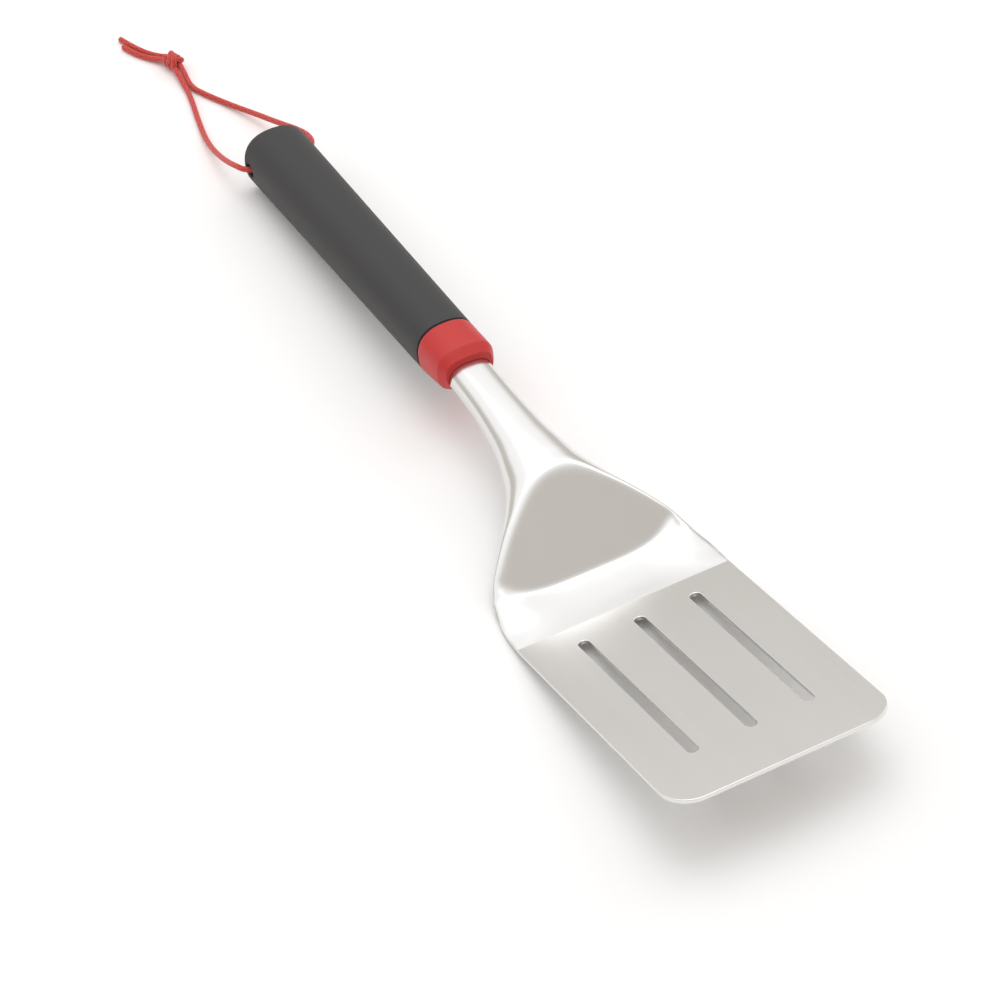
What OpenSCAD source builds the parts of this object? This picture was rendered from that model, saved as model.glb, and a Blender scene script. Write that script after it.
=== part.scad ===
// Grill spatula lying on a table: a slotted steel blade with a pressed neck, a soft grip over a
// rigid core, a coloured collar and a knotted hanging cord.
// +X runs from the butt of the handle to the tip of the blade, +Y to the left, +Z up.
// The origin is on the table, under the middle of the spatula without its cord.

/* [Blade] */
// Width of the flat blade
blade_w = 97; // [85:1:110]
// Length of the flat blade, from the bend to the front edge
blade_l = 129; // [115:1:145]
// Thickness of the steel sheet
sheet_t = 1.8; // [1.2:0.1:2.2]
// Radius of the two front corners
corner_r = 13; // [6:1:20]
// Angle that the flat blade makes with the table
blade_tilt = 13.2; // [12:0.1:14]

/* [Slots] */
// Number of slots
slot_count = 3; // [1:1:3]
// Distance between the middle lines of two slots
slot_pitch = 25.4; // [18:0.1:28]
// Width of a slot
slot_w = 4.8; // [4.4:0.1:6]
// Distance from the bend to the near end of a slot
slot_start = 11; // [8:1:20]
// Length of a slot, over its round ends
slot_l = 92; // [60:1:100]

/* [Handle] */
// Length of the grip, from the butt to the collar
grip_l = 173.5; // [160:0.5:180]
// Width of the grip at the butt
butt_w = 31; // [29:0.5:33]
// Width of the grip at the collar
front_w = 27.4; // [27:0.2:29]
// Height of the grip's section as a share of its width
section_ratio = 0.93; // [0.9:0.01:1]
// Angle that the handle makes with the table
handle_pitch = 4.4; // [3.8:0.1:5]
// Thickness of the soft sleeve
sleeve_t = 2; // [1.5:0.1:2.4]
// Radius of the butt's rounded edge
butt_round = 3.5; // [3:0.5:5]

/* [Tang] */
// How far the tang reaches into the grip
tang_l = 95; // [70:1:110]
// Diameter of the cross pins
pin_d = 3; // [2.5:0.1:3.5]
// Distance from the collar to the first pin, and between the pins
pin_step = 38; // [30:1:44]

/* [Hanging cord] */
// Diameter of the cord
cord_d = 2.6; // [2:0.1:3]
// Diameter of the cross hole
hole_d = 6.4; // [6:0.1:7]
// Distance from the butt's end to the cross hole
hole_inset = 7.5; // [7:0.5:10]
// Length of the knot
knot_l = 10.4; // [9:0.2:12]
// Width of the knot
knot_w = 9.2; // [8.6:0.2:10]

/* [Hidden] */
$fn = 48;
run_out = 1;
fit_gap = 0.05;
pin_gap = 0.02;

// Pressed neck between the bend and the collar, in the blade's own frame, which has its origin on
// the bend. In front of the bend the sheet goes on as its last row. Place along X, half width,
// height of the rim, rise of the crown above the rim and power of the arch.
NECK = [
    [-124, 9.8, 52.6, 8.3, 2.8],
    [-97, 10.5, 45.6, 8.8, 2.6],
    [-78, 12.4, 39.8, 9.6, 2.4],
    [-68, 14.8, 35.3, 11.4, 2.3],
    [-58, 18.6, 29.0, 14.6, 2.15],
    [-48, 26.3, 21.4, 18.0, 2.0],
    [-40, 34.2, 15.2, 16.5, 2.2],
    [-32, 41.6, 9.2, 11.0, 2.5],
    [-28, 44.1, 6.3, 7.0, 2.55],
    [-24, 45.8, 4.0, 4.5, 2.6],
    [-12, 48.0, 1.3, 1.8, 2.6],
    [0, 48.5, 0, 0, 2.6]
];
// The pressed facet is a steep plane that cuts the crown
facet_foot_x = -23.3;
facet_foot_z = 2.7;
facet_slope = 1.41;
facet_start_x = -70;
blend_r = 2.4;
foot_r = 1.2;
// Shoulders that close the facet's lower corners: height at a distance from the middle, and length
shoulder_h = 3.3;
shoulder_y = 37;
shoulder_l = 20;
// Depth of crown at which the sheet's thickness is laid square to its surface
full_crown = 8;
// Tang, below and above the handle's axis
tang_rim = -2.4;
tang_crown = 8.3;
tang_w_rear = 7.5;
tang_w_front = 9.6;
neck_w_root = 9.8;
tang_power = 3;
NECK_X = [
    -116, -106, -97, -88, -80, -74, -68, -63, -58, -54, -51, -48, -45, -42, -39, -36, -33, -30,
    -27, -24.5, -22, -19, -16, -12, -8, -4, 0
];
arch_steps = 18;
plug_stations = 6;

// Core: the sunk line in front of the sleeve, the spigot under the collar and the tang's pocket
line_gap = 0.9;
line_depth = 0.6;
spigot_l = 12;
spigot_a = 11.6;
spigot_b = 9.4;
pocket_w = 20.2;
pocket_low = -2.8;
pocket_high = 6.3;
pin_l = 21;

// Collar's outer rings: place along the axis, half width, half height, lift and power
COLLAR = [
    [fit_gap, 13.3, 12.3, 0, 2.4],
    [0.5, 13.7, 12.74, 0, 2.4],
    [6, 13.7, 12.2, 0.3, 2.4],
    [12, 13.6, 11.4, 0.8, 2.5],
    [17.4, 13.3, 10.45, 1.2, 2.7],
    [21.6, 10.9, 6.8, 1.6, 2.9]
];
mouth_gap = 0.15;

// Middle line of each half of the cord, from the middle of the cross hole to the tail's end
ROUTE_LEFT = [
    [-216.7, 0, 14.7], [-216.7, -6, 14.7], [-216.8, -11, 14.7], [-217.3, -14.6, 14.7],
    [-219.2, -17, 14.6], [-223.6, -18.6, 13.9], [-231.6, -19.4, 11.2], [-241.3, -19.4, 7.9],
    [-252.5, -18.7, 4.7], [-263.6, -17.2, 2.5], [-273.5, -15.2, 1.5], [-283, -13.1, 1.4],
    [-292.3, -10.9, 1.4], [-300.8, -9.2, 1.4], [-306.5, -8.7, 1.8], [-312.5, -8.2, 2.7],
    [-318.5, -8, 3.6], [-323.5, -8.3, 4], [-329, -10.2, 3], [-334, -13.4, 1.8],
    [-339.5, -16.9, 1.4], [-345, -19.4, 1.4], [-350.5, -21.2, 1.4]
];
ROUTE_RIGHT = [
    [-216.7, 0, 14.7], [-216.7, 6, 14.7], [-216.8, 11, 14.7], [-217.3, 14.6, 14.7],
    [-219.2, 17, 14.6], [-223, 18.6, 14.3], [-229.2, 18.9, 13.2], [-237, 17.4, 11.5],
    [-245, 15.1, 9.5], [-254.6, 12.5, 7], [-263.4, 10, 5], [-272.2, 7.1, 3.2],
    [-280.4, 3.9, 2], [-286.3, 1.4, 1.5], [-291.7, -1.2, 1.4], [-297, -3.6, 1.4],
    [-302, -5.4, 1.4], [-307, -5.9, 1.8], [-312.5, -5.4, 2.8], [-318.5, -4.9, 3.8],
    [-323.5, -4.9, 4.3], [-328.5, -6.8, 3.5], [-333.5, -9.7, 2.1], [-339, -12.9, 1.4],
    [-345, -15.9, 1.4], [-351.5, -18.3, 1.4], [-357, -20, 1.4]
];
KNOT_POS = [-323, -6.4, knot_w / 2];
knot_turn = 14;
tube_sides = 8;

butt_h = butt_w * section_ratio;
front_h = front_w * section_ratio;
section_power = 2.4;
section_steps = 40;
half_span = 225;

// ---- numbers ----

// Slope of column c of table t at row i, from its two neighbours
function slope(t, c, i) =
    let (a = max(i - 1, 0), b = min(i + 1, len(t) - 1))
    (t[b][c] - t[a][c]) / (t[b][0] - t[a][0]);

// Smooth value of column c of table t at x
function smooth(t, c, x) =
    let (
        i = max([for (k = [0:len(t) - 2]) x >= t[k][0] ? k : 0]),
        h = t[i + 1][0] - t[i][0],
        u = (x - t[i][0]) / h,
        p = t[i][c],
        q = t[i + 1][c],
        m = slope(t, c, i) * h,
        n = slope(t, c, i + 1) * h
    )
    p + u * (m + u * (3 * (q - p) - 2 * m - n + u * (2 * (p - q) + m + n)));

// The lower of two heights, with a soft corner
function soft_min(a, b, r) =
    let (h = min(max(0.5 + 0.5 * (b - a) / r, 0), 1))
    b * (1 - h) + a * h - r * h * (1 - h);

// The higher of two heights, with a soft corner
function soft_max(a, b, r) = -soft_min(-a, -b, r);

function power(v, e) = sign(v) * pow(abs(v), e);
function unit(v) = v / norm(v);

// ---- where things are ----

rim_low = min([for (x = [-40:0.5:0]) x * sin(blade_tilt) + smooth(NECK, 2, x) * cos(blade_tilt)]);
blade_lift = sheet_t - rim_low;
blade_x = half_span - blade_l * cos(blade_tilt) - sheet_t * sin(blade_tilt);

// The butt's end is the middle of the flat face behind its rounded edge
butt_flat = butt_h / 2 - butt_round;
butt_x = -half_span + butt_flat * sin(handle_pitch) + butt_round * (1 - cos(handle_pitch));
butt_z = butt_h / 2 * cos(handle_pitch) - butt_round * sin(handle_pitch);

// The collar's rear face on the handle's axis, in the blade's frame
seat_dx = butt_x + grip_l * cos(handle_pitch) - blade_x;
seat_dz = butt_z + grip_l * sin(handle_pitch) - blade_lift;
seat_x = seat_dx * cos(blade_tilt) + seat_dz * sin(blade_tilt);
seat_z = seat_dz * cos(blade_tilt) - seat_dx * sin(blade_tilt);
axis_turn = handle_pitch - blade_tilt;

// ---- the sheet's shape ----

// A station is the origin of a cross section, its turn, half width, rim, crown and power
function tang_station(s, w) = [
    seat_x + s * cos(axis_turn), seat_z + s * sin(axis_turn), axis_turn,
    w, tang_rim, tang_crown, tang_power
];
function neck_station(x) =
    let (q = min(x, 0))
    [x, 0, 0, smooth(NECK, 1, q), smooth(NECK, 2, q), max(smooth(NECK, 3, q), 0), smooth(NECK, 4, q)];
function facet(x) = facet_foot_z - facet_slope * (x - facet_foot_x);
function shoulder(x, y) =
    let (u = min(max(-x / shoulder_l, 0), 1))
    shoulder_h * u * u * (3 - 2 * u) * pow(abs(y) / shoulder_y, 4);

STATIONS = concat(
    [
        tang_station(-tang_l, tang_w_rear),
        tang_station(-tang_l / 2, (tang_w_rear + neck_w_root) / 2),
        tang_station(2, tang_w_front),
        tang_station(12, neck_w_root)
    ],
    [for (x = concat(NECK_X, [blade_l])) neck_station(x)]
);
// Point of the upper surface on station i, at angle a across the arch
function top_point(i, a) =
    let (
        s = STATIONS[i],
        y = s[3] * power(sin(a), 2 / s[6]),
        crown = s[5] * pow(abs(cos(a)), 2 / s[6]),
        pressed = s[2] == 0 && s[0] > facet_start_x,
        low = soft_max(facet(s[0]) - s[4], shoulder(s[0], y), foot_r),
        z = s[4] + (pressed ? soft_min(crown, low, min(blend_r, 0.6 * s[5]) + 0.001) : crown)
    )
    [s[0] - z * sin(s[2]), y, s[1] + z * cos(s[2])];

// Direction square to the sheet, upright where the arch has faded out
function top_normal(i, a) =
    let (
        before = max(i - 1, 0),
        after = min(i + 1, len(STATIONS) - 1),
        along = top_point(after, a) - top_point(before, a),
        across = top_point(i, min(a + 2, 90)) - top_point(i, max(a - 2, -90)),
        square = unit(cross(along, across)),
        share = min(STATIONS[i][5] / full_crown, 1)
    )
    STATIONS[i][0] >= 0 ? [0, 0, 1] : unit(square * share + [0, 0, 1] * (1 - share));

function arch_angle(k) = -90 + 180 * k / arch_steps;
function sheet_ring(i, depth) = [
    for (k = [0:arch_steps]) top_point(i, arch_angle(k)) - depth * top_normal(i, arch_angle(k))
];
function reversed(v) = [for (k = [len(v) - 1:-1:0]) v[k]];

// Skin over rings of the same number of points, closed at both ends. A folded ring, such as a
// sheet's, is closed by strips between its two sides, and any other ring by a plain face.
module loft(rings, folded = false) {
    n = len(rings[0]);
    last = (len(rings) - 1) * n;
    sides = [
        for (i = [0:n:last - n])
            for (k = [0:n - 1])
                let (j = (k + 1) % n)
                for (f = [[i + k, i + n + j, i + j], [i + k, i + n + k, i + n + j]]) f
    ];
    strips = [
        for (k = [0:n / 2 - 2])
            let (m = n - 1 - k)
            for (f = [
                [k, k + 1, m - 1, m],
                [last + m, last + m - 1, last + k + 1, last + k]
            ]) f
    ];
    caps = [[for (k = [0:n - 1]) k], [for (k = [n - 1:-1:0]) last + k]];
    polyhedron(points = [for (r = rings) for (p = r) p], faces = concat(sides, folded ? strips : caps));
}

module steel_sheet() {
    loft(
        [for (i = [0:len(STATIONS) - 1]) concat(sheet_ring(i, sheet_t), reversed(sheet_ring(i, 0)))],
        folded = true
    );
}

// Solid that fills the neck from rim to crown, grown by g
module neck_plug(g) {
    drop = [0, 0, -g];
    loft([
        for (i = [1:plug_stations])
            let (r = sheet_ring(i, -g))
            concat([r[0] + drop, r[arch_steps] + drop], reversed(r))
    ]);
}

module in_blade_frame() {
    translate([blade_x, 0, blade_lift]) rotate([0, -blade_tilt, 0]) children();
}

module in_handle_frame() {
    translate([butt_x, 0, butt_z]) rotate([0, -handle_pitch, 0]) translate([grip_l, 0, 0]) children();
}

// ---- blade ----

// What is cut off at the front corners to round them
module corner_scraps() {
    for (side = [-1, 1]) difference() {
        translate([blade_l - corner_r, side * (blade_w - corner_r) / 2])
            translate([0, -corner_r / 2 - (side < 0 ? run_out : 0)])
                square([corner_r + run_out, corner_r + run_out]);
        translate([blade_l - corner_r, side * (blade_w / 2 - corner_r)]) circle(r = corner_r);
    }
}

module slot_outline() {
    r = slot_w / 2;
    translate([r, 0]) circle(r = r);
    translate([r, -r]) square([slot_l - slot_w, slot_w]);
    translate([slot_l - r, 0]) circle(r = r);
}

module slots() {
    for (k = [0:slot_count - 1])
        translate([slot_start, (k - (slot_count - 1) / 2) * slot_pitch]) slot_outline();
}

module blade() {
    color("silver") difference() {
        in_blade_frame() difference() {
            steel_sheet();
            translate([0, 0, -sheet_t - run_out]) linear_extrude(sheet_t + 2 * run_out) {
                slots();
                corner_scraps();
            }
        }
        pin_holes(pin_d / 2 + pin_gap);
    }
}

// ---- handle ----

function grip_a(s) = (front_w + (front_w - butt_w) * s / grip_l) / 2;
function grip_b(s) = grip_a(s) * section_ratio;

// Ring of the handle's section at s, half width a, half height b, lifted by dz
function section_ring(s, a, b, dz, e) = [
    for (k = [0:section_steps - 1])
        let (q = 360 * k / section_steps)
        [s, a * power(cos(q), 2 / e), dz + b * power(sin(q), 2 / e)]
];
function grip_ring(s, inset) =
    section_ring(s, grip_a(s) - inset, grip_b(s) - inset, 0, section_power);

// Body of the grip, thinner by inset all round, from its round butt to s_front
module grip_body(inset, s_front) {
    r = butt_round;
    loft(concat(
        [
            for (q = [90:-18:0])
                let (s = -grip_l + r - (r - inset) * sin(q), shrink = (r - inset) * (1 - cos(q)))
                grip_ring(s, inset + shrink)
        ],
        [grip_ring(s_front, inset)]
    ));
}

module cross_hole() {
    translate([-grip_l + hole_inset, 0, 0]) rotate([90, 0, 0])
        cylinder(d = hole_d, h = butt_w + 2 * run_out, center = true);
}

module grip_sleeve() {
    color("dimgray") in_handle_frame() difference() {
        grip_body(0, -line_gap);
        grip_body(sleeve_t, 0);
        cross_hole();
    }
}

// Cross pins through the core and the tang, in the handle's frame
module pins(r, l) {
    in_handle_frame()
        for (k = [1, 2])
            translate([-k * pin_step, 0, 0]) rotate([90, 0, 0]) cylinder(r = r, h = l, center = true);
}

module pin_holes(r) {
    pins(r, butt_w);
}

module handle_core() {
    color("black") difference() {
        in_handle_frame() difference() {
            union() {
                grip_body(sleeve_t + fit_gap, 0);
                loft([grip_ring(fit_gap - line_gap, line_depth), grip_ring(0, line_depth)]);
                loft([
                    section_ring(-1, spigot_a, spigot_b, 0, section_power),
                    section_ring(spigot_l, spigot_a, spigot_b, 0, section_power)
                ]);
            }
            translate([-tang_l - 1, -pocket_w / 2, pocket_low])
                cube([tang_l + spigot_l + 2, pocket_w, pocket_high - pocket_low]);
            cross_hole();
        }
        pin_holes(pin_d / 2 + pin_gap);
    }
}

module tang_pins() {
    color("gainsboro") pins(pin_d / 2, pin_l);
}

module collar() {
    color("indianred") difference() {
        in_handle_frame() difference() {
            loft([for (c = COLLAR) section_ring(c[0], c[1], c[2], c[3], c[4])]);
            loft([
                section_ring(-1, spigot_a + fit_gap, spigot_b + fit_gap, 0, section_power),
                section_ring(spigot_l + 0.1, spigot_a + fit_gap, spigot_b + fit_gap, 0, section_power)
            ]);
        }
        in_blade_frame() neck_plug(mouth_gap);
    }
}

// ---- hanging cord ----

function route_way(route, i) =
    unit(route[min(i + 1, len(route) - 1)] - route[max(i - 1, 0)]);
function tube_ring(route, i) =
    let (
        way = i == 0 ? unit([0, route[1][1], 0]) : route_way(route, i),
        side = unit(cross([0, 0, 1], way)),
        up = cross(way, side)
    )
    [
        for (k = [0:tube_sides - 1])
            let (q = 360 * (k + 0.5) / tube_sides)
            route[i] + cord_d / 2 * (side * cos(q) + up * sin(q))
    ];
module tube(route) {
    loft([for (i = [0:len(route) - 1]) tube_ring(route, i)]);
}

module hang_cord_left() {
    color("firebrick") tube(ROUTE_LEFT);
}

module hang_cord_right() {
    color("firebrick") tube(ROUTE_RIGHT);
}

module knot() {
    color("firebrick") translate(KNOT_POS) rotate([0, 0, knot_turn]) rotate([0, 90, 0])
        rotate_extrude() polygon([
            for (q = [-90:15:90]) [knot_w / 2 * pow(cos(q), 0.7), knot_l / 2 * sin(q)]
        ]);
}

blade();
handle_core();
grip_sleeve();
collar();
tang_pins();
hang_cord_left();
hang_cord_right();
knot();
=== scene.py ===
# %% [markdown]
# # A grill spatula, from its frame to its finish
# The object is a long-handled grill spatula that lies on a table. A slotted steel blade ends in a
# pressed neck, the neck runs into a red collar, a soft dark grip covers the rigid core of the
# handle, and a thin red cord hangs through a hole near the butt. A fixed frame gives the place of
# every part, so this script only makes each part finer and gives it its finish.

# %% Load the frame and keep its box
import math

import bmesh
import bpy
import numpy as np
from mathutils import Matrix, Vector


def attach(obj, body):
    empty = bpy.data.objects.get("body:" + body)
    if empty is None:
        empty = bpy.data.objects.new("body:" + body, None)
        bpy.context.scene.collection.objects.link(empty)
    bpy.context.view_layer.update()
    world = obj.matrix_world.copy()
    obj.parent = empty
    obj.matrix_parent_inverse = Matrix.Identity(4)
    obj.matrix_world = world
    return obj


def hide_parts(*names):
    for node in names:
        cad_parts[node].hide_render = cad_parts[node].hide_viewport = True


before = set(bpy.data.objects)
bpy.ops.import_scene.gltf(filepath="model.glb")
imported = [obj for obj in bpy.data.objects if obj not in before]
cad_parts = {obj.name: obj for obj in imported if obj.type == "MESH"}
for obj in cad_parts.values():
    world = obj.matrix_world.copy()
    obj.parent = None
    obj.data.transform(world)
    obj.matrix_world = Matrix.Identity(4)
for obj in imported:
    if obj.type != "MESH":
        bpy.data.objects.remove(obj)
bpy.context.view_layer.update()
MM = 0.001
print("parts in the frame:", ", ".join(sorted(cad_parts)))

# %% [markdown]
# ## The camera
# A long lens far away keeps the spatula's outline almost parallel, as in a catalogue view. The
# camera is placed by the direction it looks in, an azimuth and an elevation, and is then rolled a
# few degrees about that direction. The three axes that follow are the columns of its matrix, which
# avoids any constraint or target object.

# %% Camera
CAMERA_PLACE = Vector((0.9792, -0.4650, 1.0300))
CAMERA_AZIMUTH = math.radians(154.82)
CAMERA_ELEVATION = math.radians(-44.09)
CAMERA_ROLL = math.radians(4.24)
CAMERA_LENS = 129

look = Vector((
    math.cos(CAMERA_ELEVATION) * math.cos(CAMERA_AZIMUTH),
    math.cos(CAMERA_ELEVATION) * math.sin(CAMERA_AZIMUTH),
    math.sin(CAMERA_ELEVATION),
))
level_right = look.cross(Vector((0, 0, 1))).normalized()
level_up = level_right.cross(look)
right = level_right * math.cos(CAMERA_ROLL) - level_up * math.sin(CAMERA_ROLL)
up = right.cross(look)
camera_data = bpy.data.cameras.new("view_camera")
camera_data.lens = CAMERA_LENS
camera_data.clip_start = 0.05
camera = bpy.data.objects.new("view_camera", camera_data)
camera_turn = Matrix((right, up, -look)).transposed().to_4x4()
camera.matrix_world = Matrix.Translation(CAMERA_PLACE) @ camera_turn
bpy.context.scene.collection.objects.link(camera)
bpy.context.scene.camera = camera
print("camera looks along", [round(v, 3) for v in look])

# %% [markdown]
# ## From points to pieces
# Most parts here are skins over a row of cross sections. One helper turns points and faces, worked
# out in millimetres, into an object in metres, and another joins the sections. Sharp edges are
# found by their angle, so that broad surfaces shade smoothly and real edges stay crisp.

# %% Helpers that make a piece
SHARP = 35


def piece_from(name, points, faces, sharp=SHARP):
    """A mesh object in metres, from points in millimetres and faces."""
    mesh = bpy.data.meshes.new(name)
    mesh.from_pydata((np.asarray(points, float) * MM).tolist(), [], faces)
    mesh.validate()
    finish_mesh(mesh, sharp)
    made = bpy.data.objects.new(name, mesh)
    bpy.context.scene.collection.objects.link(made)
    return made


def finish_mesh(mesh, sharp):
    """Smooth shading, with faces that look outwards and edges sharper than an angle kept crisp."""
    work = bmesh.new()
    work.from_mesh(mesh)
    bmesh.ops.recalc_face_normals(work, faces=work.faces)
    work.to_mesh(mesh)
    work.free()
    mesh.shade_smooth()
    mesh.set_sharp_from_angle(angle=math.radians(sharp))


def skin(rings, closed=False):
    """Points and faces of a skin over rings of the same number of points, with plain ends."""
    rings = np.asarray(rings, float)
    count, size = rings.shape[:2]
    faces = [
        (i * size + k, i * size + (k + 1) % size, j * size + (k + 1) % size, j * size + k)
        for i, j in zip(range(count), list(range(1, count)) + [0])
        for k in range(size)
        if j or closed
    ]
    if not closed:
        faces += [tuple(range(size))[::-1], tuple(range((count - 1) * size, count * size))]
    return rings.reshape(-1, 3), faces


def sections(table, x):
    """Every column of a table at x, by a smooth cubic through its rows, whose first column is x."""
    table = np.asarray(table, float)
    rows = np.arange(len(table))
    before, after = np.maximum(rows - 1, 0), np.minimum(rows + 1, len(table) - 1)
    slopes = (table[after] - table[before]) / (table[after, :1] - table[before, :1])
    i = int(np.clip(np.searchsorted(table[:, 0], x, side="right") - 1, 0, len(table) - 2))
    h = table[i + 1, 0] - table[i, 0]
    u = (x - table[i, 0]) / h
    p, q, m, n = table[i], table[i + 1], slopes[i] * h, slopes[i + 1] * h
    return p + u * (m + u * (3 * (q - p) - 2 * m - n + u * (2 * (p - q) + m + n)))


def fuller(v, power):
    """A sine or cosine raised so that the curve it draws is fuller than an ellipse."""
    return np.sign(v) * np.abs(v) ** (2 / power)


def place(points, origin, pitch):
    """Points of a part's own frame in the table's frame: raised by pitch, then moved."""
    points = np.asarray(points, float)
    x, y, z = points[..., 0], points[..., 1], points[..., 2]
    c, s = math.cos(pitch), math.sin(pitch)
    return np.stack([x * c - z * s, y, x * s + z * c], -1) + np.asarray(origin, float)


print("helpers ready")

# %% [markdown]
# ## The hanging cord
# The real cord is one thin braided cord that runs through the cross hole of the handle, with both
# ends tied together and two short tails. It lies on the table, so each half is a route of points
# that leaves the hole, falls beside the butt and then rests on the table up to the knot. A curve
# with a round bevel would be a smooth wire. A tube made ring by ring can carry the relief of the
# plaits instead, and the same pattern is kept as an attribute for the colour. The cut ends of the
# tails are drawn in a little.

# %% Routes of the two halves
ROUTE_LEFT = [
    (-216.7, 0, 14.7), (-216.7, -6, 14.7), (-216.8, -11, 14.7), (-217.3, -14.6, 14.7),
    (-219.2, -17, 14.6), (-223.6, -18.6, 13.9), (-231.6, -19.4, 11.2), (-241.3, -19.4, 7.9),
    (-252.5, -18.7, 4.7), (-263.6, -17.2, 2.5), (-273.5, -15.2, 1.5), (-283, -13.1, 1.4),
    (-292.3, -10.9, 1.4), (-300.8, -9.2, 1.4), (-306.5, -8.7, 1.8), (-312.5, -8.2, 2.7),
    (-318.5, -8, 3.6), (-323.5, -8.3, 4), (-329, -10.2, 3), (-334, -13.4, 1.8),
    (-339.5, -16.9, 1.4), (-345, -19.4, 1.4), (-350.5, -21.2, 1.4),
]
ROUTE_RIGHT = [
    (-216.7, 0, 14.7), (-216.7, 6, 14.7), (-216.8, 11, 14.7), (-217.3, 14.6, 14.7),
    (-219.2, 17, 14.6), (-223, 18.6, 14.3), (-229.2, 18.9, 13.2), (-237, 17.4, 11.5),
    (-245, 15.1, 9.5), (-254.6, 12.5, 7), (-263.4, 10, 5), (-272.2, 7.1, 3.2),
    (-280.4, 3.9, 2), (-286.3, 1.4, 1.5), (-291.7, -1.2, 1.4), (-297, -3.6, 1.4),
    (-302, -5.4, 1.4), (-307, -5.9, 1.8), (-312.5, -5.4, 2.8), (-318.5, -4.9, 3.8),
    (-323.5, -4.9, 4.3), (-328.5, -6.8, 3.5), (-333.5, -9.7, 2.1), (-339, -12.9, 1.4),
    (-345, -15.9, 1.4), (-351.5, -18.3, 1.4), (-357, -20, 1.4),
]
CORD_D = 2.6
CORD_SIDES = 32
CORD_STEP = 0.3
PLAITS = 5
PLAIT_PITCH = 5.0
PLAIT_RELIEF = 0.05
PLAIT_MEAN = 0.62
TIP_L, TIP_SHARE = 0.9, 0.35
BRAID_SHARP = 60


def even_line(points, step, closed=False):
    """The smooth line through points, as points a step apart along it."""
    points = np.asarray(points, float)
    if closed:
        fine = np.vstack([points, points[:1]])
    else:
        padded = np.vstack([2 * points[0] - points[1], points, 2 * points[-1] - points[-2]])
        u = np.linspace(0, 1, 24, endpoint=False)[:, None]
        spans = [
            b + 0.5 * u * (c - a + u * (2 * a - 5 * b + 4 * c - d + u * (3 * (b - c) + d - a)))
            for a, b, c, d in zip(padded, padded[1:], padded[2:], padded[3:])
        ]
        fine = np.vstack(spans + [points[-1:]])
    along = np.concatenate([[0], np.cumsum(np.linalg.norm(np.diff(fine, axis=0), axis=1))])
    count = max(int(round(along[-1] / step)), 8)
    marks = np.linspace(0, along[-1], count + 1)
    line = np.stack([np.interp(marks, along, fine[:, axis]) for axis in range(3)], 1)
    return (line[:-1] if closed else line), along[-1]


line_left, length_left = even_line(ROUTE_LEFT, CORD_STEP)
line_right, length_right = even_line(ROUTE_RIGHT, CORD_STEP)
print(f"cord halves: {length_left:.0f} mm and {length_right:.0f} mm")

# %% Braided tube
def braided_tube(name, lines, diameter, closed=False):
    """A tube with the relief of plaits along each line, which is also kept as an attribute."""
    points, faces, relief = [], [], []
    turn = 2 * np.pi * np.arange(CORD_SIDES) / CORD_SIDES
    for line in lines:
        ways = np.roll(line, -1, 0) - np.roll(line, 1, 0)
        if not closed:
            ways[0], ways[-1] = line[1] - line[0], line[-1] - line[-2]
        ways /= np.linalg.norm(ways, axis=1)[:, None]
        start = np.cross(ways[0], (0.0, 0.0, 1.0))
        sides = [start / np.linalg.norm(start)]
        for way in ways[1:]:
            side = sides[-1] - way * (sides[-1] @ way)
            sides.append(side / np.linalg.norm(side))
        sides = np.array(sides)
        ups = np.cross(ways, sides)
        step = np.linalg.norm(line[1] - line[0])
        s = step * np.arange(len(line))
        twist = np.zeros(len(line))
        turns = s / PLAIT_PITCH
        if closed:
            drift = sides[-1] - ways[0] * (sides[-1] @ ways[0])
            gap = math.atan2(drift @ ups[0], drift @ sides[0])
            twist = -gap * np.arange(len(line)) / len(line)
            turns *= round(s[-1] / PLAIT_PITCH) / (s[-1] + step) * PLAIT_PITCH
        angle = turn[None, :] + twist[:, None]
        right_hand = np.cos(PLAITS * turn[None, :] + 2 * np.pi * turns[:, None])
        left_hand = np.cos(PLAITS * turn[None, :] - 2 * np.pi * turns[:, None])
        over = np.maximum(right_hand, left_hand) * 0.5 + 0.5
        radius = diameter / 2 + PLAIT_RELIEF * (over - PLAIT_MEAN)
        if not closed:
            left = np.minimum(s[-1] - s, TIP_L) / TIP_L
            radius *= (TIP_SHARE + (1 - TIP_SHARE) * np.sqrt(1 - (1 - left) ** 2))[:, None]
        ring = (
            line[:, None, :]
            + (radius * np.cos(angle))[..., None] * sides[:, None, :]
            + (radius * np.sin(angle))[..., None] * ups[:, None, :]
        )
        its_points, its_faces = skin(ring, closed)
        faces += [tuple(v + len(points) for v in face) for face in its_faces]
        points += its_points.tolist()
        relief += over.reshape(-1).tolist()
    made = piece_from(name, points, faces, BRAID_SHARP)
    made.data.attributes.new("plait", "FLOAT", "POINT").data.foreach_set("value", relief)
    return made


cord_left = braided_tube("hang_cord_left_braid", [line_left], CORD_D)
cord_right = braided_tube("hang_cord_right_braid", [line_right], CORD_D)
print("cord points:", len(cord_left.data.vertices) + len(cord_right.data.vertices))

# %% [markdown]
# ## The knot
# The two halves are tied together in one overhand knot. Seen from outside it is a tight ball of
# doubled cord that winds round itself, so it is made as two strands side by side that follow a
# trefoil: two turns round the cord while they dip in and out three times. It stays one separate
# piece that the loop carries.

# %% Knot
KNOT_MIDDLE = np.array([-323, -6.4, 4.6])
KNOT_TURN = math.radians(14)
KNOT_STRAND = 2.7
KNOT_RADIUS, KNOT_DIP, KNOT_REACH, KNOT_PAIR = 2.3, 0.6, 1.9, 1.3
KNOT_PHASE = 0.5


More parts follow.
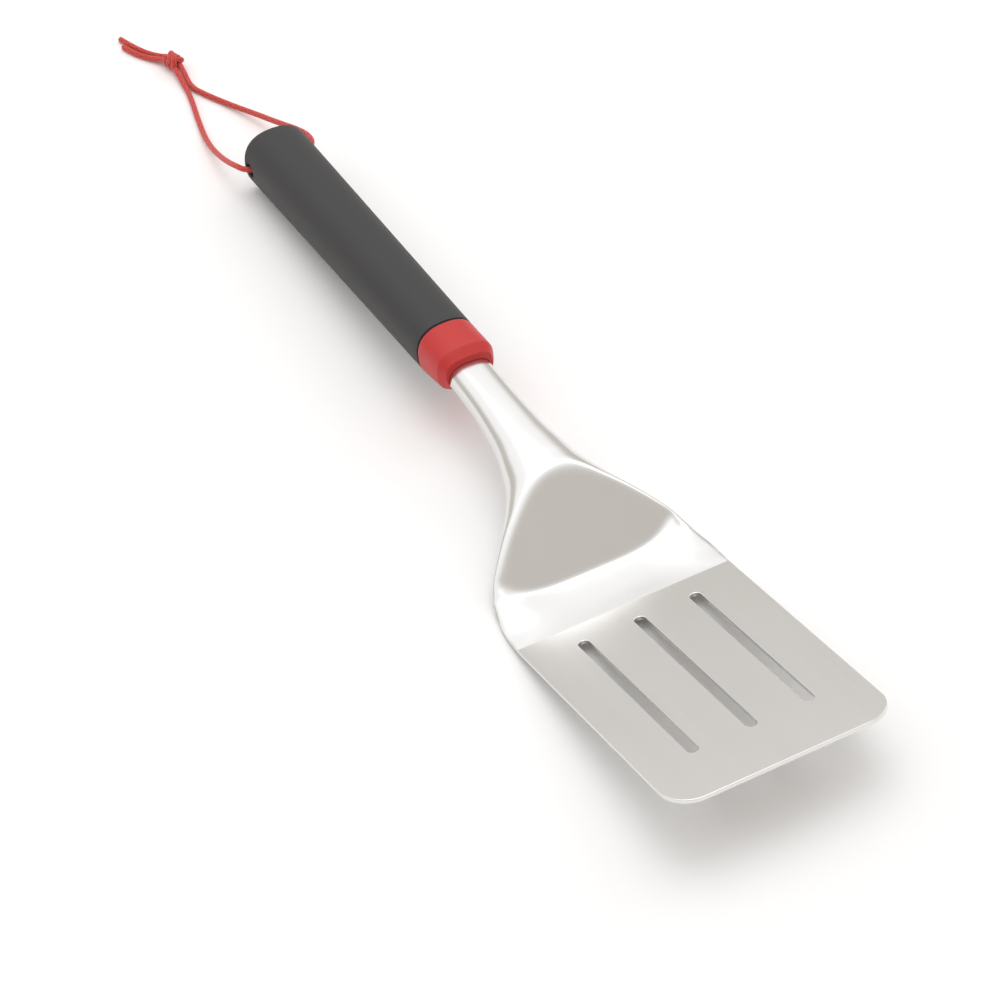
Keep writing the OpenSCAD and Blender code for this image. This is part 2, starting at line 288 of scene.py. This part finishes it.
def knot_line(shift):
    """One strand of the trefoil, moved along the knot by shift."""
    t = np.linspace(0, 2 * np.pi, 361)[:-1]
    radius = KNOT_RADIUS + KNOT_DIP * np.cos(3 * t + KNOT_PHASE)
    x = KNOT_REACH * np.sin(3 * t + KNOT_PHASE) + shift
    y, z = radius * np.cos(2 * t), radius * np.sin(2 * t)
    c, s = math.cos(KNOT_TURN), math.sin(KNOT_TURN)
    turned = np.stack([x * c - y * s, x * s + y * c, z], 1)
    return even_line(turned + KNOT_MIDDLE, CORD_STEP, closed=True)[0]


strands = [knot_line(shift) for shift in (-KNOT_PAIR, KNOT_PAIR)]
knot = braided_tube("cord_knot", strands, KNOT_STRAND, closed=True)
print("knot size in mm:", [round(v * 1000, 1) for v in knot.dimensions])

# %% Hang the cords on the loop, in place of the frame's cords
EXIT_X, EXIT_Y, EXIT_Z = -0.2167, 0.0155, 0.0147
PATH_STRIDE = 4
cord_parts = (
    (cord_left, "hang_cord_left", line_left, length_left, -EXIT_Y),
    (cord_right, "hang_cord_right", line_right, length_right, EXIT_Y),
)
for tube, node, line, length, y in cord_parts:
    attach(tube, "hang_loop")
    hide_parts(node)
    round(length * MM, 3)
    (line[::PATH_STRIDE] * MM).tolist()
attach(knot, "hang_loop")
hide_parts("knot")

# %% [markdown]
# ## Where the blade and the handle sit
# Both have a frame of their own. The blade's lies on its flat face, with the origin on the bend, and
# rises towards the tip. The handle's lies on the grip's axis, with the origin where the collar
# begins. These few numbers repeat the frame's own arithmetic, so that the finer parts fall exactly
# on the coarse ones.

# %% Frames of the blade and the handle
HALF_SPAN = 225
TILT, PITCH = math.radians(13.2), math.radians(4.4)
SHEET_T, BLADE_L, BLADE_HALF, CORNER_R = 1.8, 129, 48.5, 13
GRIP_L, BUTT_W, FRONT_W, RATIO, BUTT_ROUND = 173.5, 31, 27.4, 0.93, 3.5
# place along X, half width, height of the rim, rise of the crown and power of the arch
NECK = [
    (-124, 9.8, 52.6, 8.3, 2.8), (-97, 10.5, 45.6, 8.8, 2.6), (-78, 12.4, 39.8, 9.6, 2.4),
    (-68, 14.8, 35.3, 11.4, 2.3), (-58, 18.6, 29.0, 14.6, 2.15), (-48, 26.3, 21.4, 18.0, 2.0),
    (-40, 34.2, 15.2, 16.5, 2.2), (-32, 41.6, 9.2, 11.0, 2.5), (-28, 44.1, 6.3, 7.0, 2.55),
    (-24, 45.8, 4.0, 4.5, 2.6), (-12, 48.0, 1.3, 1.8, 2.6), (0, 48.5, 0, 0, 2.6),
]
rim_low = min(
    x * math.sin(TILT) + sections(NECK, x)[2] * math.cos(TILT) for x in np.arange(-40, 0.1, 0.5)
)
BLADE_ORIGIN = (
    HALF_SPAN - BLADE_L * math.cos(TILT) - SHEET_T * math.sin(TILT), 0, SHEET_T - rim_low
)
butt_h = BUTT_W * RATIO
butt_flat = butt_h / 2 - BUTT_ROUND
butt_x = -HALF_SPAN + butt_flat * math.sin(PITCH) + BUTT_ROUND * (1 - math.cos(PITCH))
butt_z = butt_h / 2 * math.cos(PITCH) - BUTT_ROUND * math.sin(PITCH)
HANDLE_ORIGIN = (butt_x + GRIP_L * math.cos(PITCH), 0, butt_z + GRIP_L * math.sin(PITCH))


def in_blade(points):
    """Points of the blade's frame, on the table."""
    return place(points, BLADE_ORIGIN, TILT)


def in_handle(points):
    """Points of the handle's frame, on the table."""
    return place(points, HANDLE_ORIGIN, PITCH)


print("blade origin", np.round(BLADE_ORIGIN, 2), "handle origin", np.round(HANDLE_ORIGIN, 2))

# %% [markdown]
# ## The steel sheet
# The blade, the pressed neck and the hidden tang are one stamped sheet. Across it, the neck is an
# arch that narrows towards the handle, and a steep flat facet is pressed into its front. The arch is
# a power curve whose width, height and fullness change smoothly along the neck. The facet is a plane
# that cuts the arch, and two low shoulders in front of it round its lower corners. Each section is
# sampled evenly along its own length, and a small round is added at both edges, because a stamped
# and tumbled sheet has no knife edges and its rim catches the light.

# %% Sections of the sheet
TANG_L, TANG_RIM, TANG_CROWN, TANG_POWER = 95, -2.4, 8.3, 3
TANG_W_REAR, TANG_W_FRONT, NECK_W_ROOT = 7.5, 9.6, 9.8
FACET_FOOT = (-23.3, 2.7)
FACET_SLOPE, FACET_START = 1.41, -70
BLEND_R, FOOT_R, FULL_CROWN = 2.4, 1.2, 8
SHOULDER_H, SHOULDER_Y, SHOULDER_L = 3.3, 37, 20
ACROSS = 96
ARCH_SAMPLES = 721
EDGE_R = 0.32
EDGE_STEPS = 4
TINY = 1e-6


def soft_min(a, b, r):
    """The lower of two heights, with a soft corner."""
    h = np.clip(0.5 + 0.5 * (b - a) / r, 0, 1)
    return b * (1 - h) + a * h - r * h * (1 - h)


seat = np.array(HANDLE_ORIGIN) - np.array(BLADE_ORIGIN)
seat_x = seat[0] * math.cos(TILT) + seat[2] * math.sin(TILT)
seat_z = seat[2] * math.cos(TILT) - seat[0] * math.sin(TILT)
AXIS_TURN = PITCH - TILT


def tang_station(s, half):
    """A section of the tang, s along the handle's axis from the collar's rear face."""
    return (
        seat_x + s * math.cos(AXIS_TURN), seat_z + s * math.sin(AXIS_TURN), AXIS_TURN,
        half, TANG_RIM, TANG_CROWN, TANG_POWER,
    )


def neck_station(x):
    """A section of the neck at x in the blade's frame."""
    _, half, rim, crown, power = sections(NECK, x)
    return x, 0, 0, half, rim, max(crown, 0), power


def arch(station):
    """Points on top of the sheet across a section, its two true edges and its share of a crown."""
    ox, oz, turn, half, rim, crown, power = station
    a = np.radians(np.linspace(-90, 90, ARCH_SAMPLES))
    y = half * fuller(np.sin(a), power)
    rise = crown * fuller(np.cos(a), power)
    if turn == 0 and ox > FACET_START:
        u = min(max(-ox / SHOULDER_L, 0), 1)
        shoulder = SHOULDER_H * u * u * (3 - 2 * u) * (np.abs(y) / SHOULDER_Y) ** 4
        facet = FACET_FOOT[1] - FACET_SLOPE * (ox - FACET_FOOT[0])
        low = -soft_min(rim - facet, -shoulder, FOOT_R)
        rise = soft_min(rise, low, min(BLEND_R, 0.6 * crown) + TINY)
    z = rim + rise
    line = np.stack([ox - z * math.sin(turn), y, oz + z * math.cos(turn)], 1)
    along = np.concatenate([[0], np.cumsum(np.linalg.norm(np.diff(line, axis=0), axis=1))])
    marks = np.linspace(EDGE_R, along[-1] - EDGE_R, ACROSS + 1)
    top = np.stack([np.interp(marks, along, line[:, axis]) for axis in range(3)], 1)
    return top, line[0], line[-1], min(crown / FULL_CROWN, 1)


def sheet_surface(stations):
    """Top points, edge points and directions square to the sheet for a row of stations."""
    made = [arch(station) for station in stations]
    top = np.array([m[0] for m in made])
    edges = np.array([[m[1], m[2]] for m in made])
    share = np.array([m[3] for m in made])[:, None, None]
    along, across = np.gradient(top, axis=0), np.gradient(top, axis=1)
    square = np.cross(along, across)
    square /= np.linalg.norm(square, axis=2)[..., None]
    normal = square * share + np.array((0, 0, 1.0)) * (1 - share)
    normal /= np.linalg.norm(normal, axis=2)[..., None]
    return top, edges, normal


stations = [
    tang_station(-TANG_L, TANG_W_REAR),
    tang_station(-TANG_L / 2, (TANG_W_REAR + NECK_W_ROOT) / 2),
    tang_station(2, TANG_W_FRONT),
    tang_station(12, NECK_W_ROOT),
]
neck_x = np.concatenate([np.linspace(-116, -72, 34)[:-1], np.linspace(-72, 0, 97)])
stations += [neck_station(x) for x in neck_x]
top, edges, normal = sheet_surface(stations)
print("sections of the sheet:", len(stations), "from x", round(float(top[0, 0, 0]), 1))

# %% [markdown]
# ## From sections to a closed sheet
# Each section becomes a closed ring: the top, a rounded edge, the underside and the other rounded
# edge. The flat part in front of the bend has slots, which rings can't have, so its top and its
# underside are filled between outlines, and its edges are strips that follow the same round. The
# last ring and the flat part share their points on the bend and are welded there.

# %% Build the sheet
SLOT_START, SLOT_L, SLOT_W, SLOT_PITCH = 11, 92, 4.8, 25.4
ARC = np.radians(np.linspace(0, 90, EDGE_STEPS + 1))


def edge_rows(edge, out, square):
    """Rows of points that go round the sheet's edge, from its top to its underside."""
    edge, out, square = (np.asarray(v, float) for v in (edge, out, square))
    upper = edge - EDGE_R * out - EDGE_R * square
    lower = edge - EDGE_R * out - (SHEET_T - EDGE_R) * square
    return [upper + EDGE_R * (out * math.sin(q) + square * math.cos(q)) for q in ARC] + [
        lower + EDGE_R * (out * math.cos(q) - square * math.sin(q)) for q in ARC
    ]


def unit(v):
    return v / np.linalg.norm(v, axis=-1)[..., None]


def sheet_rings():
    """Closed rings of the pressed part, in the blade's frame."""
    under = top - SHEET_T * normal
    rounds = []
    for side in (0, -1):
        out = unit(edges[:, side] - top[:, side])
        rounds.append(np.stack(edge_rows(edges[:, side], out, normal[:, side]), 1)[:, 1:-1])
    first, last = rounds
    return np.concatenate([top, last, under[:, ::-1], first[:, ::-1]], 1)


def outline():
    """Edge points and outward directions of the flat part, from bend to bend."""
    points, outs = [], []
    for x in np.linspace(0, BLADE_L - CORNER_R, 12)[:-1]:
        points.append((x, BLADE_HALF))
        outs.append((0, 1))
    for q in np.radians(np.linspace(90, 0, 25)):
        out = (math.cos(q), math.sin(q))
        middle = BLADE_L - CORNER_R, BLADE_HALF - CORNER_R
        points.append((middle[0] + CORNER_R * out[0], middle[1] + CORNER_R * out[1]))
        outs.append(out)
    points += [(x, -y) for x, y in points[::-1]]
    outs += [(x, -y) for x, y in outs[::-1]]
    return np.array(points), np.array(outs)


def slot_outline(y):
    """Edge points of a slot and the directions into it."""
    r = SLOT_W / 2
    points, outs = [], []
    for x, start in ((SLOT_START + r, 90), (SLOT_START + SLOT_L - r, -90)):
        for q in np.radians(np.linspace(start, start + 180, 21)):
            points.append((x + r * math.cos(q), y + r * math.sin(q)))
            outs.append((-math.cos(q), -math.sin(q)))
    return np.array(points), np.array(outs)


def flat(v):
    return np.column_stack([v, np.zeros(len(v))])


work = bmesh.new()


def strip(rows, closed):
    """Quads between rows of points, and the points' vertices."""
    rows = [[work.verts.new(p) for p in row] for row in rows]
    for a, b in zip(rows, rows[1:]):
        for k in range(len(a) if closed else len(a) - 1):
            j = (k + 1) % len(a)
            work.faces.new((a[k], a[j], b[j], b[k]))
    return rows


rear = strip(sheet_rings(), closed=True)[0]
last_under = 2 * ACROSS + 2 * EDGE_STEPS + 1
for k in range(ACROSS):
    m = last_under - k
    work.faces.new((rear[k], rear[k + 1], rear[m - 1], rear[m]))
work.faces.new(rear[ACROSS:last_under - ACROSS + 1])
work.faces.new(rear[last_under:] + [rear[0]])
print("pressed part:", len(work.verts), "points")

# %% Fill the flat part with its slots
WELD = 1e-3
upright = np.array((0, 0, 1.0))
borders = [outline()] + [slot_outline(k * SLOT_PITCH) for k in (-1, 0, 1)]
for number, (points, outs) in enumerate(borders):
    square = np.broadcast_to(upright, (len(points), 3))
    strip(edge_rows(flat(points), flat(outs), square), closed=number > 0)
bmesh.ops.remove_doubles(work, verts=work.verts, dist=WELD)


def fill(z):
    """Triangles over the flat face at height z, inside its outline and round its slots."""
    open_edges = [
        e for e in work.edges
        if e.is_boundary and all(abs(v.co.z - z) < WELD and v.co.x > -WELD for v in e.verts)
    ]
    return bmesh.ops.triangle_fill(work, use_beauty=True, edges=open_edges)["geom"]


flat_faces = [g for z in (0, -SHEET_T) for g in fill(z) if isinstance(g, bmesh.types.BMFace)]
open_left = [e for e in work.edges if not e.is_manifold]
print("flat part:", len(flat_faces), "faces; open edges left:", len(open_left))

# %% The blade as a piece
bmesh.ops.recalc_face_normals(work, faces=work.faces)
placed = in_blade([v.co[:] for v in work.verts]) * MM
for vert, co in zip(work.verts, placed):
    vert.co = co
blade_mesh = bpy.data.meshes.new("blade_sheet")
for face in work.faces:
    face.smooth = True
for edge in work.edges:
    edge.smooth = edge.calc_face_angle(0) < math.radians(SHARP)
for face in flat_faces:
    for edge in face.edges:
        edge.smooth = False
work.to_mesh(blade_mesh)
work.free()
blade = bpy.data.objects.new("blade_sheet", blade_mesh)
bpy.context.scene.collection.objects.link(blade)
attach(blade, "handle")
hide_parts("blade")
print("blade:", len(blade_mesh.vertices), "points")

# %% [markdown]
# ## The grip
# The grip is a soft sleeve, almost round and a little wider at the butt, with a rounded end and a
# cross hole for the cord. Its section is a power curve, slightly squarer than an ellipse. The sleeve
# is a closed shell with the cavity of the core inside it, and the hole is cut with a solid whose
# ends flare, which leaves the small soft chamfer that moulded holes have.

# %% Sections of the handle
SECTION_POWER = 2.4
SECTION_STEPS = 128
SLEEVE_T, LINE_GAP, HOLE_INSET, HOLE_R = 2.0, 0.9, 7.5, 3.2
LIP_R = 0.45


def grip_half(s):
    """Half width of the grip at s, which is 0 at the collar and negative towards the butt."""
    return (FRONT_W + (FRONT_W - BUTT_W) * s / GRIP_L) / 2


def section(s, a, b, lift=0.0, power=SECTION_POWER, steps=SECTION_STEPS):
    """One cross section, half width a and half height b."""
    q = 2 * np.pi * np.arange(steps) / steps
    y, z = a * fuller(np.cos(q), power), lift + b * fuller(np.sin(q), power)
    return np.stack([np.full(steps, s), y, z], 1)


def grip_section(s, inset):
    return section(s, grip_half(s) - inset, grip_half(s) * RATIO - inset)


def butt_sections(inset, steps=14):
    """Sections of the round butt of a body that is thinner by inset all round."""
    r = BUTT_ROUND
    return [
        grip_section(-GRIP_L + r - (r - inset) * math.sin(q), inset + (r - inset) * (1 - math.cos(q)))
        for q in np.radians(np.linspace(90, 0, steps))
    ]


def cut(target, *cutters):
    """Cuts solids out of a piece, and removes them."""
    for cutter in cutters:
        modifier = target.modifiers.new("cut", "BOOLEAN")
        modifier.operation, modifier.solver, modifier.object = "DIFFERENCE", "EXACT", cutter
    bpy.context.view_layer.update()
    shape = target.evaluated_get(bpy.context.evaluated_depsgraph_get())
    mesh = bpy.data.meshes.new_from_object(shape)
    target.modifiers.clear()
    target.data = mesh
    for cutter in cutters:
        bpy.data.objects.remove(cutter)
    finish_mesh(mesh, SHARP)


front = -LINE_GAP
lip = [
    grip_section(front - LIP_R * (1 - math.sin(q)), LIP_R * (1 - math.cos(q)))
    for q in np.radians(np.linspace(0, 90, 6))
]
body = [grip_section(s, 0) for s in np.linspace(-GRIP_L + BUTT_ROUND, front - LIP_R, 44)[1:-1]]
outside = butt_sections(0) + body + lip
cavity = [grip_section(s, SLEEVE_T) for s in np.linspace(front, -GRIP_L + BUTT_ROUND, 12)]
inside = cavity + butt_sections(SLEEVE_T, 8)[::-1][1:]
sleeve = piece_from("grip_sleeve_soft", *skin(in_handle(outside + inside)))
print("grip:", len(sleeve.data.vertices), "points")

# %% Cross hole with a soft chamfer
def bar(profile, centre, steps=64):
    """A turned bar across the handle, from (place along Y, radius) pairs."""
    q = 2 * np.pi * np.arange(steps) / steps
    rows = [
        np.stack([centre + r * np.cos(q), np.full(steps, float(y)), r * np.sin(q)], 1)
        for y, r in profile
    ]
    return piece_from("cutter", *skin(in_handle(rows)))


# how far outside the grip's side, and how much wider than the hole
FLARE = [(1.0, 1.5), (-0.45, 0.12), (-0.9, 0)]
hole_centre = -GRIP_L + HOLE_INSET
flare = [(grip_half(hole_centre) + y, HOLE_R + r) for y, r in FLARE]
profile = [(-y, r) for y, r in flare] + flare[::-1]
cut(sleeve, bar(profile, hole_centre))
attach(sleeve, "handle")
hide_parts("grip_sleeve")
print("grip with its hole:", len(sleeve.data.polygons), "faces")

# %% [markdown]
# ## The collar
# The red collar closes the grip and holds the neck. It starts as round as the grip, flattens
# towards the front, and ends in a bevelled nose whose mouth follows the arch of the neck. Its
# outside is a row of sections, and two solids are cut out of it: the core's spigot behind, and the
# neck itself, a little larger, in front.

# %% Collar
# place along the handle's axis, half width, half height, lift and power
COLLAR = [
    (0.05, 13.3, 12.3, 0, 2.4), (0.5, 13.7, 12.74, 0, 2.4), (6, 13.7, 12.2, 0.3, 2.4),
    (12, 13.6, 11.4, 0.8, 2.5), (17.4, 13.3, 10.45, 1.2, 2.7),
]
NOSE = (21.6, 10.9, 6.8, 1.6, 2.9)
SPIGOT_L, SPIGOT_A, SPIGOT_B = 12, 11.6, 9.4
FIT, MOUTH_GAP, NOSE_R, NOSE_SPREAD = 0.05, 0.15, 0.35, 0.2


def plug(gap):
    """Solid that fills the neck from its rim to its crown, grown by gap."""
    rows = [tang_station(-20, 9.2), tang_station(2, TANG_W_FRONT), tang_station(12, NECK_W_ROOT)]
    rows += [neck_station(x) for x in (-116, -111, -106, -101, -97)]
    its_top, its_edges, its_normal = sheet_surface(rows)
    ends = its_edges + np.array([(0, -gap, -gap), (0, gap, -gap)])
    rings = np.concatenate([ends[:, :1], its_top + gap * its_normal, ends[:, 1:]], 1)
    return piece_from("cutter", *skin(in_blade(rings)))


places = np.concatenate([[0.05, 0.15, 0.3, 0.5], np.linspace(1.5, 16.5, 16), [17.1]])
rows = [sections(COLLAR, s) for s in places]
crease, last = np.array(COLLAR[-1]), np.array(NOSE)
rows += [crease - (0, 0.03, 0.03, 0, 0)]
rows += [crease + (last - crease) * u for u in (0.07, 0.3, 0.6, 0.9)]
shell = [section(s, a, b, lift, power) for s, a, b, lift, power in rows]
for q in np.radians((30, 60, 90)):
    grow = NOSE_SPREAD - NOSE_R * (1 - math.cos(q))
    s = last[0] - NOSE_R * (1 - math.sin(q))
    shell.append(section(s, last[1] + grow, last[2] + grow, last[3], last[4]))
collar = piece_from("collar_shell", *skin(in_handle(shell)))
spigot = piece_from("cutter", *skin(in_handle([
    section(s, SPIGOT_A + FIT, SPIGOT_B + FIT) for s in (-1, SPIGOT_L + 2 * FIT)
])))
cut(collar, spigot, plug(MOUTH_GAP))
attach(collar, "handle")
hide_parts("collar")
print("collar:", len(collar.data.polygons), "faces")

# %% [markdown]
# ## Writing materials as expressions
# Node trees are easier to read as arithmetic. This class holds one socket: adding to it,
# subtracting from it or multiplying it makes the Math node for that, also when the number comes
# first. Colours are mixed with a Mix node, because a Math node would turn them grey, and every other
# node comes from one method that sets the node's own settings and then its sockets.

# %% A socket that can be used in arithmetic
class Wire:
    """One output socket of a material's node tree."""

    def __init__(self, tree, socket=None):
        self.tree, self.socket = tree, socket

    def node(self, kind, sockets=None, out=0, **settings):
        """Adds a node: its settings first, then the value or the link of each socket."""
        made = self.tree.nodes.new("ShaderNode" + kind)
        for name, value in settings.items():
            setattr(made, name, value)
        for name, value in (sockets or {}).items():
            if isinstance(value, Wire):
                self.tree.links.new(value.socket, made.inputs[name])
            else:
                made.inputs[name].default_value = value
        return Wire(self.tree, made.outputs[out])

    def math(self, operation, a, b=0.0):
        return self.node("Math", {0: a, 1: b}, operation=operation)

    def __add__(self, other):
        return self.math("ADD", self, other)

    def __radd__(self, other):
        return self.math("ADD", other, self)

    def __sub__(self, other):
        return self.math("SUBTRACT", self, other)

    def __rsub__(self, other):
        return self.math("SUBTRACT", other, self)

    def __mul__(self, other):
        return self.math("MULTIPLY", self, other)

    def __rmul__(self, other):
        return self.math("MULTIPLY", other, self)

    def clamped(self):
        """This value, kept between 0 and 1."""
        return self.math("MINIMUM", self.math("MAXIMUM", self, 0.0), 1.0)

    def mix(self, low, high):
        """A colour between two, by this value."""
        pair = [(*c, 1) if isinstance(c, tuple) else c for c in (low, high)]
        return self.node("Mix", {0: self, 6: pair[0], 7: pair[1]}, out=2, data_type="RGBA")

    def turned(self, angles):
        """This vector, turned by three angles."""
        sockets = {"Vector": self, "Rotation": angles}
        return self.node("VectorRotate", sockets, rotation_type="EULER_XYZ")

    def stretched(self, scale):
        """This vector, stretched along each axis."""
        return self.node("VectorMath", {0: self, 1: scale}, operation="MULTIPLY")

    def axis(self, name):
        """One of this vector's axes."""
        return self.node("SeparateXYZ", {0: self}, out=name)

    def noise(self, scale, detail=2.0, rough=0.5):
        """Noise at the place that this vector gives."""
        return self.node(
            "TexNoise", {"Vector": self, "Scale": scale, "Detail": detail, "Roughness": rough}
        )


def new_material(name, **surface):
    """A material with one surface shader: its plain numbers, and a wire to start from."""
    material = bpy.data.materials.new(name)
    material.use_nodes = True
    shader = material.node_tree.nodes["Principled BSDF"]
    for socket, value in surface.items():
        shader.inputs[socket.replace("_", " ")].default_value = value
    where = Wire(material.node_tree).node("TexCoord", out="Object")
    return material, shader, where


def feed(shader, colour=None, roughness=None, height=None, depth=0.0):
    """Links a colour, a roughness and a relief, whose depth is in metres, to a shader."""
    links = shader.id_data.links
    for name, wire in (("Base Color", colour), ("Roughness", roughness)):
        if wire is not None:
            links.new(wire.socket, shader.inputs[name])
    if height is not None:
        bump = height.node("Bump", {"Height": height, "Strength": 1.0, "Distance": depth})
        links.new(bump.socket, shader.inputs["Normal"])


print("material helpers ready")

# %% [markdown]
# ## Brushed steel
# The sheet has a fine satin finish: very thin scratches that run along the blade, a soft sheen and
# slight clouds where it was polished. The scratches are noise stretched along the blade, used for
# the roughness and for a relief of a few microns. A little wear shows as broader, brighter streaks.

# %% Steel
STEEL_LIGHT, STEEL_DARK = (0.80, 0.795, 0.785), (0.76, 0.753, 0.74)
FINE_GRAIN, BROAD_GRAIN, CLOUDS = (12, 1100, 160), (6, 190, 60), 22


def brushed_steel(name, turn, rough):
    material, shader, where = new_material(name, Metallic=1.0)
    own = where.turned(turn)
    fine = own.stretched(FINE_GRAIN).noise(1.0)
    broad = own.stretched(BROAD_GRAIN).noise(1.0)
    cloud = where.noise(CLOUDS)
    tone = (fine * 0.35 + broad * 0.3 + cloud * 0.35).clamped()
    feed(
        shader,
        colour=tone.mix(STEEL_DARK, STEEL_LIGHT),
        roughness=rough + 0.04 * (fine - 0.5) + 0.04 * (cloud - 0.5) + 0.03 * (broad - 0.5),
        height=fine,
        depth=0.0000015,
    )
    return material


steel = brushed_steel("steel_brushed", (0, TILT, 0), 0.23)
pin_steel = brushed_steel("steel_pins", (0, 0, math.pi / 2), 0.36)
blade.data.materials.append(steel)
print("steel ready")

# %% [markdown]
# ## Soft grip, black core and red collar
# The grip is a soft-touch skin: matte, with a very fine grain that only shows as a broad, quiet
# highlight. The core is harder and blacker, with a moulded texture. The collar is a satin plastic
# whose surface is slightly spark eroded, so its grain is finer than the grip's and it shines more.

# %% Plastics
def moulded(name, light, dark, rough, grain, depth):
    """Moulded plastic with a fine grain, faint clouds and a colour between dark and light."""
    material, shader, where = new_material(name)
    fine = where.noise(grain, 2.0, 0.55)
    cloud = where.noise(45, 3.0)
    tone = (0.35 * fine + 0.65 * cloud).clamped()
    feed(
        shader,
        colour=tone.mix(dark, light),
        roughness=rough + 0.12 * (cloud - 0.5) + 0.08 * (fine - 0.5),
        height=fine,
        depth=depth,
    )
    return material


grip_skin = moulded(
    "grip_soft_touch", (0.043, 0.042, 0.043), (0.030, 0.029, 0.030), 0.62, 2600, 0.00006
)
core_black = moulded(
    "core_black", (0.016, 0.016, 0.016), (0.009, 0.009, 0.009), 0.5, 1500, 0.00005
)
collar_red = moulded(
    "collar_satin_red", (0.56, 0.024, 0.022), (0.48, 0.017, 0.016), 0.45, 2200, 0.00003
)
sleeve.data.materials.append(grip_skin)
collar.data.materials.append(collar_red)
print("plastics ready")

# %% [markdown]
# ## The cord's braid
# The plaits are real relief on the tube. The attribute that the tube carries tells how high each
# point stands, and the colour follows it as painted light: the valleys get a deeper red as painted
# shade and the tops a paler red as painted highlight. Tiny fibres are a noise in the relief, and a
# soft sheen stands for the fuzz of the yarn.

# %% Cord
# Deeper red as painted shade in the plaits' valleys, paler red as painted light on their tops.
CORD_VALLEY_SHADE, CORD_TOP_LIT = (0.30, 0.018, 0.016), (0.68, 0.075, 0.06)


def braided_cord(name):
    material, shader, where = new_material(
        name, Sheen_Weight=0.35, Sheen_Roughness=0.5, Specular_IOR_Level=0.25
    )
    plait = where.node("Attribute", attribute_name="plait", out="Fac")
    fibre = where.noise(4200, 2.0)
    cloud = where.noise(160, 2.0)
    # The height of the plaits picks the colour: painted shade low down, painted light on top.
    tone = (plait * 0.7 + fibre * 0.2 + cloud * 0.2 - 0.05).clamped()
    feed(
        shader,
        colour=tone.mix(CORD_VALLEY_SHADE, CORD_TOP_LIT),
        roughness=0.78 + 0.12 * (fibre - 0.5),
        height=fibre,
        depth=0.00005,
    )
    return material


cord_red = braided_cord("cord_braid_red")
for part in (cord_left, cord_right, knot):
    part.data.materials.append(cord_red)
print("cord ready")

# %% [markdown]
# ## The parts that stay as they are
# The core shows only as a thin black line between the grip and the collar, and inside the cross
# hole, and the two pins are hidden in it. Their shape in the frame is already right, so they only
# get a finish.

# %% Finish for the core and the pins
for node, material in (("handle_core", core_black), ("tang_pins", pin_steel)):
    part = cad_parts[node]
    if not part.material_slots:
        part.data.materials.append(material)
    for slot in part.material_slots:
        slot.material = material
    part.data.shade_smooth()
    part.data.set_sharp_from_angle(angle=math.radians(SHARP))
print("core and pins finished")

# %% [markdown]
# ## Floor and light
# The spatula lies on a plain pale floor. Bare metal shows what surrounds it, so the room is built
# for its reflections. It is white high up, which the crown of the neck and the band before the bend
# show, and a warm grey low down, which the flat blade shows. In front of the tip the grey reaches
# much higher, because the steep facet looks there. Two soft panels only add form and faint shadows.

# %% Floor
FLOOR_HALF = 4.0
corners = [(x * FLOOR_HALF, y * FLOOR_HALF, 0) for x, y in ((-1, -1), (1, -1), (1, 1), (-1, 1))]
floor_mesh = bpy.data.meshes.new("floor")
floor_mesh.from_pydata(corners, [], [(0, 1, 2, 3)])
floor = bpy.data.objects.new("floor", floor_mesh)
bpy.context.scene.collection.objects.link(floor)
paper, paper_shader, where = new_material("floor_paper")
feed(
    paper_shader,
    colour=where.noise(3.0, 2.0).mix((0.93, 0.93, 0.93), (0.95, 0.95, 0.95)),
    roughness=0.8 + 0.05 * where.noise(40, 2.0),
)
floor_mesh.materials.append(paper)
print("floor ready")

# %% Lights
def panel(name, at, size, power):
    """A soft square panel of light that faces the origin."""
    data = bpy.data.lights.new(name, "AREA")
    data.shape, data.size, data.energy = "SQUARE", size, power
    made = bpy.data.objects.new(name, data)
    made.location = at
    made.rotation_euler = (-Vector(at)).to_track_quat("-Z", "Y").to_euler()
    bpy.context.scene.collection.objects.link(made)


panel("panel_overhead", (-0.35, 0.2, 1.6), 1.2, 6)
panel("panel_side", (-0.4, 1.5, 1.1), 0.9, 2)

world = bpy.data.worlds.new("room")
bpy.context.scene.world = world
world.use_nodes = True
room = Wire(world.node_tree).node("TexCoord", out="Generated")
ahead, height = room.axis("X"), room.axis("Z")
ROOM_LOW, ROOM_HIGH = (0.65, 0.615, 0.575), (1.16, 1.16, 1.165)
# heights, or ways ahead, between which the room goes from its low colour to its high one
BEHIND, BEFORE, AHEAD = (0.375, 0.56), (0.77, 0.97), (-0.1, 0.4)


def glow_between(value, low, high):
    """A smooth step from 0 to 1 while value goes from low to high."""
    sockets = {"Value": value, "From Min": low, "From Max": high}
    return value.node("MapRange", sockets, interpolation_type="SMOOTHSTEP")


behind, before = glow_between(height, *BEHIND), glow_between(height, *BEFORE)
share = glow_between(ahead, *AHEAD)
glow = behind * (1 - share) + before * share
background = world.node_tree.nodes["Background"]
world.node_tree.links.new(glow.mix(ROOM_LOW, ROOM_HIGH).socket, background.inputs["Color"])
background.inputs["Strength"].default_value = 1.0
bpy.context.scene.view_settings.view_transform = "Standard"
print("lights ready")
